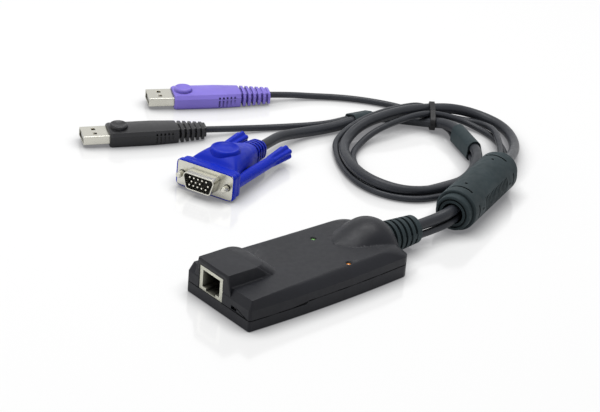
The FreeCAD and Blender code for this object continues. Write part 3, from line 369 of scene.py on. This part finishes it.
def grooved(node, name, cutter):
    """Copy of a case half with the groove cut along its rim; it stands for the plain half."""
    mesh = nodes[node].data.copy()
    bm = welded(mesh)
    bm.to_mesh(mesh)
    bm.free()
    piece = add(name, mesh)
    cut = piece.modifiers.new("groove", "BOOLEAN")
    cut.operation = "DIFFERENCE"
    cut.solver = "EXACT"
    cut.use_self = True
    cut.object = cutter
    settle(piece)
    mesh = piece.data
    mesh.materials.clear()
    mesh.materials.append(case_plastic)
    mesh.polygons.foreach_set("material_index", [0] * len(mesh.polygons))
    mesh.polygons.foreach_set("use_smooth", [True] * len(mesh.polygons))
    mesh.set_sharp_from_angle(angle=SHARP)
    even = piece.modifiers.new("even", "WEIGHTED_NORMAL")
    even.mode = "FACE_AREA"
    even.weight = 100
    even.keep_sharp = True
    settle(piece)
    stand_for(piece, "adapter", node)


cutter = groove_cutter("top_cover")
grooved("top_cover", "upper_case", cutter)
grooved("bottom_cover", "lower_case", cutter)
bpy.data.objects.remove(cutter)

# ---------------------------------------------------------------- display plug, in millimetres
# x points out of the plug's mouth, y across it and z up; the flange's face is at 0.
AIM = Vector((-0.944008, -0.328738, 0.027922)).normalized()
ASIDE = Vector((0, 0, 1)).cross(AIM).normalized()
ABOVE = AIM.cross(ASIDE)
PLUG_AT = Vector((6.4, 90.7, 7.25))
CREASE = math.radians(35)
RING_CORNERS = 64

FLANGE_HALF, FLANGE_TALL = 15.4, 6.25
FLANGE_PLAY = 0.03
FLANGE_SEAT = -0.82
RIM_BACK, RIM_ASIDE, RIM_ABOVE = -3.0, 0.75, 0.72
COLLAR_FRONT, COLLAR_BACK, COLLAR_ASIDE, COLLAR_ABOVE = -3.05, -6.6, 0.25, 0.3

# x, half the width, top, bottom and squareness
HOOD = [(-5.8, 14.4, 6.0, -6.0, 5.0), (-7.0, 13.8, 6.9, -6.1, 4.4), (-9.0, 12.9, 8.7, -6.1, 3.8),
        (-12.0, 12.0, 10.1, -6.1, 3.4), (-17.0, 10.9, 10.8, -6.1, 3.2), (-23.0, 9.5, 10.1, -6.0, 3.0),
        (-29.0, 8.0, 8.7, -5.9, 3.0), (-34.0, 6.5, 7.2, -5.6, 2.9), (-37.2, 5.7, 6.2, -5.3, 2.8)]

TAIL_FRONT, TAIL_END = -37.6, -48.0
TAIL_SQUARE = 2.7
RIBS = 4
FIRST_GAP = 0.9             # from the tail's front to the first gap between ribs
GAP_WIDE, GAP_DEEP = 0.85, 0.85
LIP, LIP_INSET = 0.12, 0.15

PAD_AT = -16.6
# radius and height of the thumb pad, from its foot to the middle of its dish
DISH = [(7.7, 8.6), (7.3, 10.3), (7.0, 11.1), (6.7, 11.45), (6.3, 11.55), (5.9, 11.4), (5.3, 11.0),
        (3.9, 10.6), (2.0, 10.4), (0.6, 10.35)]

THUMB_SPREAD = 12.5         # from the plug's middle to each screw
THUMB_CORNERS = 72
FLUTES = 6
# x, radius and the flutes' depth as a share of the radius
SHANK = [(-6.5, 2.0, 0), (-6.6, 3.05, 0), (-9.0, 3.05, 0), (-20.0, 2.9, 0), (-35.0, 2.75, 0),
         (-37.6, 2.75, 0), (-39.0, 2.95, 0.10), (-41.0, 3.15, 0.2), (-46.0, 3.45, 0.24),
         (-52.0, 3.8, 0.24), (-53.1, 3.75, 0.22), (-53.5, 3.3, 0.15)]


def plug_point(x, y, z):
    """Millimetres in the display plug's frame to metres in the row frame."""
    return (PLUG_AT + AIM * x + ASIDE * y + ABOVE * z) / 1000


def smooth_rows(rows, steps):
    """Rows of numbers with steps more between each pair, along a smooth curve through all of them."""
    def between(p, q, r, s, u):
        return q + 0.5 * u * (r - p + u * (2 * p - 5 * q + 4 * r - s + u * (3 * (q - r) + s - p)))

    made = []
    for i in range(len(rows) - 1):
        near = [rows[min(max(i + k, 0), len(rows) - 1)] for k in (-1, 0, 1, 2)]
        made += [tuple(between(*four, j / steps) for four in zip(*near)) for j in range(steps)]
    return made + [rows[-1]]


def section(x, half, top, bottom, square):
    """Closed ring across the plug; the higher square is, the nearer it comes to a rectangle."""
    ring = []
    for i in range(RING_CORNERS):
        turn = 2 * math.pi * i / RING_CORNERS
        c, d = math.cos(turn), math.sin(turn)
        y = half * math.copysign(abs(c) ** (2 / square), c)
        tall = top if d > 0 else -bottom
        z = tall * math.copysign(abs(d) ** (2 / square), d)
        ring.append((x, y, z))
    return ring


def plate(front, back, half, tall, soft=0.35):
    """Rings of a plate across the plug with softened edges."""
    near = soft * 0.3
    return [section(x, half - inset, tall - inset, -tall + inset, 9) for x, inset in
            ((back, soft), (back + near, near), (back + soft, 0),
             (front - soft, 0), (front - near, near), (front, soft))]


def skin(rings, verts, faces):
    """Adds a closed skin over rings of equal count, with both ends capped."""
    base, count = len(verts), len(rings[0])
    for ring in rings:
        verts += [plug_point(*p) for p in ring]
    for i in range(len(rings) - 1):
        for j in range(count):
            k = (j + 1) % count
            a = base + i * count
            faces.append((a + j, a + k, a + count + k, a + count + j))
    for ring, start, turned in ((rings[0], base, True), (rings[-1], base + (len(rings) - 1) * count, False)):
        middle = [sum(p[i] for p in ring) / count for i in range(3)]
        verts.append(plug_point(*middle))
        for j in range(count):
            k = (j + 1) % count
            corner = (start + k, start + j) if turned else (start + j, start + k)
            faces.append((*corner, len(verts) - 1))


def blue_piece(name, skins, body, node):
    """Piece of blue plastic made of closed skins, each a list of rings."""
    verts, faces = [], []
    for rings in skins:
        skin(rings, verts, faces)
    mesh = bpy.data.meshes.new(name)
    mesh.from_pydata(verts, [], faces)
    mesh.polygons.foreach_set("use_smooth", [True] * len(mesh.polygons))
    mesh.set_sharp_from_angle(angle=CREASE)
    mesh.materials.append(blue_plastic)
    piece = add(name, mesh)
    stand_for(piece, body, node)
    return piece


def rim():
    """Edge of the hood round the metal flange, open to the front down to the flange's seat."""
    rings = plate(0.0, RIM_BACK, FLANGE_HALF + RIM_ASIDE, FLANGE_TALL + RIM_ABOVE)
    half, tall = FLANGE_HALF + FLANGE_PLAY, FLANGE_TALL + FLANGE_PLAY
    return rings + [section(x, half, tall, -tall, 11) for x in (0.0, FLANGE_SEAT)]


def tail_ring(x, inset):
    along = (x - TAIL_FRONT) / (TAIL_END - TAIL_FRONT)
    return section(x, 5.65 - 0.75 * along - inset, 6.1 - 1.2 * along - inset, -5.3 + 0.5 * along + inset,
                   TAIL_SQUARE)


def tail():
    """Strain relief with gaps between its ribs, from front to back."""
    rings = []
    pitch = (TAIL_FRONT - TAIL_END - FIRST_GAP) / RIBS
    for i in range(RIBS):
        front = TAIL_FRONT - FIRST_GAP - i * pitch
        wall = front - LIP
        far_wall = wall - GAP_WIDE
        rings += [tail_ring(front, 0), tail_ring(wall, LIP_INSET), tail_ring(wall, GAP_DEEP),
                  tail_ring(far_wall, GAP_DEEP), tail_ring(far_wall, LIP_INSET), tail_ring(far_wall - LIP, 0)]
    return rings + [tail_ring(TAIL_END + x, inset) for x, inset in ((0.5, 0), (LIP, LIP_INSET), (0, 0.6))]


def pad():
    """Round thumb pad with a dished top."""
    rings = []
    for r, z in smooth_rows(DISH, 3):
        turns = [2 * math.pi * i / RING_CORNERS for i in range(RING_CORNERS)]
        rings.append([(PAD_AT + r * math.cos(turn), r * math.sin(turn), z) for turn in turns])
    return rings


def thumb_grip(side):
    """Long screw handle with a fluted, flared end."""
    low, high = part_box("thumbscrew_" + side)
    towards = ((low + high) / 2 * 1000 - PLUG_AT).dot(ASIDE)
    across = math.copysign(THUMB_SPREAD, towards)
    rings = []
    for x, r, flute in smooth_rows(SHANK, 3):
        ring = []
        for i in range(THUMB_CORNERS):
            turn = 2 * math.pi * i / THUMB_CORNERS
            near = r * (1 - flute * (0.5 + 0.5 * math.cos(FLUTES * turn)) ** 1.5)
            ring.append((x, across + near * math.cos(turn), near * math.sin(turn)))
        rings.append(ring)
    return rings[::-1]


collar = plate(COLLAR_FRONT, COLLAR_BACK, FLANGE_HALF + COLLAR_ASIDE, FLANGE_TALL + COLLAR_ABOVE)
hood = [section(*row) for row in smooth_rows(HOOD, 4)] + tail()
plug_hood = blue_piece("plug_hood", [rim(), collar, hood[::-1], pad()], "adapter", "vga_hood")
grips = [blue_piece(side + "_thumb_grip", [thumb_grip(side)], side + "_thumbscrew", "thumbscrew_" + side)
         for side in ("left", "right")]

# ---------------------------------------------------------------- cords
VGA_SIZE, USB_SIZE = 0.0053, 0.0032


def free_cord(name, node, route, size):
    """Smooth cord along a route, standing for a CAD cord."""
    curve = bpy.data.curves.new(name, "CURVE")
    curve.dimensions = "3D"
    spline = curve.splines.new("NURBS")
    spline.points.add(len(route) - 1)
    for point, place in zip(spline.points, route):
        point.co = (*place, 1)
    spline.order_u = 3
    spline.use_endpoint_u = True
    spline.resolution_u = 10
    curve.bevel_depth = size / 2
    curve.bevel_resolution = 5
    curve.use_fill_caps = True
    piece = add(name, curve)
    curve.materials.append(cord_rubber)
    stand_for(piece, "adapter", node)


free_cord("display_cord", "vga_cord", VGA_ROUTE, VGA_SIZE)
for colour, route, length in (("black", BLACK_ROUTE, 0.5098), ("purple", PURPLE_ROUTE, 0.5308)):
    free_cord(colour + "_data_cord", colour + "_usb_cord", route, USB_SIZE)

# ---------------------------------------------------------------- light
AMBIENT = 0.32              # the world's strength as light; what is seen of it is white


def white_seen(tree):
    """1 for what the camera sees directly, in gloss or through glass, else 0."""
    path = tree.nodes.new("ShaderNodeLightPath")
    total = path.outputs["Is Camera Ray"]
    for name in ("Is Glossy Ray", "Is Transmission Ray"):
        more = tree.nodes.new("ShaderNodeMath")
        more.operation = "MAXIMUM"
        link(tree, total, more.inputs[0])
        link(tree, path.outputs[name], more.inputs[1])
        total = more.outputs["Value"]
    return total


def lamp(name, place, aim, width, depth, power):
    """Soft box at a place in metres, turned to the point it aims at."""
    light = bpy.data.lights.new(name, "AREA")
    light.shape = "RECTANGLE"
    light.size = width
    light.size_y = depth
    light.energy = power
    holder = add(name, light)
    holder.location = place
    holder.rotation_euler = (Vector(aim) - Vector(place)).to_track_quat("-Z", "Y").to_euler()


world = bpy.data.worlds.new("studio")
world.use_nodes = True
scene.world = world
tree = world.node_tree
sky = tree.nodes["Background"]
sky.inputs["Color"].default_value = (1, 1, 1, 1)
link(tree, spread(tree, white_seen(tree), AMBIENT, 1.0, 0, 1), sky.inputs["Strength"])
lamp("softbox", (0.12, 0.24, 0.74), (0.05, 0.08, 0), 0.6, 0.45, 4.2)
lamp("fill", (-0.75, 0.2, 0.4), (0.03, 0.06, 0), 0.5, 0.5, 0.9)

# ---------------------------------------------------------------- floor
FLOOR_HALF = 4.0
FLOOR_DROP = 0.00005
PAINTED_SHADOW_REACH = 0.011
PAINTED_SHADOW_FADE = (0.35, 0.95)
PAINTED_SHADOW_GREY = (0.26, 0.26, 0.27)
GLOW = 1.06
GLOW_SHARE = 0.78           # how much of the floor's look comes from its glow, where it is seen
SHEEN_SHARE = 0.13

paper = bpy.data.materials.new("paper")
paper.use_nodes = True
tree = paper.node_tree
# painted shadow: near the object, where the AO node finds it, the floor's colour and glow turn grey
painted_shade_mask = spread(tree, openness(tree, PAINTED_SHADOW_REACH, 16), 0, 1, *PAINTED_SHADOW_FADE)
matte = tree.nodes["Principled BSDF"]
matte.inputs["Roughness"].default_value = 0.6
link(tree, blend(tree, painted_shade_mask, PAINTED_SHADOW_GREY, (0.95, 0.95, 0.95)), matte.inputs["Base Color"])
glow = tree.nodes.new("ShaderNodeEmission")
glow.inputs["Strength"].default_value = GLOW
link(tree, blend(tree, painted_shade_mask, PAINTED_SHADOW_GREY, (1.0, 1.0, 1.0)), glow.inputs["Color"])
sheen = tree.nodes.new("ShaderNodeBsdfGlossy")
sheen.inputs["Roughness"].default_value = 0.12
share = tree.nodes.new("ShaderNodeMixShader")
link(tree, spread(tree, white_seen(tree), 0.0, GLOW_SHARE, 0, 1), share.inputs["Fac"])
link(tree, matte.outputs["BSDF"], share.inputs[1])
link(tree, glow.outputs["Emission"], share.inputs[2])
polish = tree.nodes.new("ShaderNodeMixShader")
polish.inputs["Fac"].default_value = SHEEN_SHARE
link(tree, share.outputs["Shader"], polish.inputs[1])
link(tree, sheen.outputs["BSDF"], polish.inputs[2])
link(tree, polish.outputs["Shader"], tree.nodes["Material Output"].inputs["Surface"])

floor_mesh = bpy.data.meshes.new("floor")
corners = [(-FLOOR_HALF, -FLOOR_HALF, 0), (FLOOR_HALF, -FLOOR_HALF, 0), (FLOOR_HALF, FLOOR_HALF, 0),
           (-FLOOR_HALF, FLOOR_HALF, 0)]
floor_mesh.from_pydata(corners, [], [(0, 1, 2, 3)])
floor_mesh.materials.append(paper)
floor = add("floor", floor_mesh)
floor.location.z = -FLOOR_DROP

scene.view_settings.view_transform = "Standard"
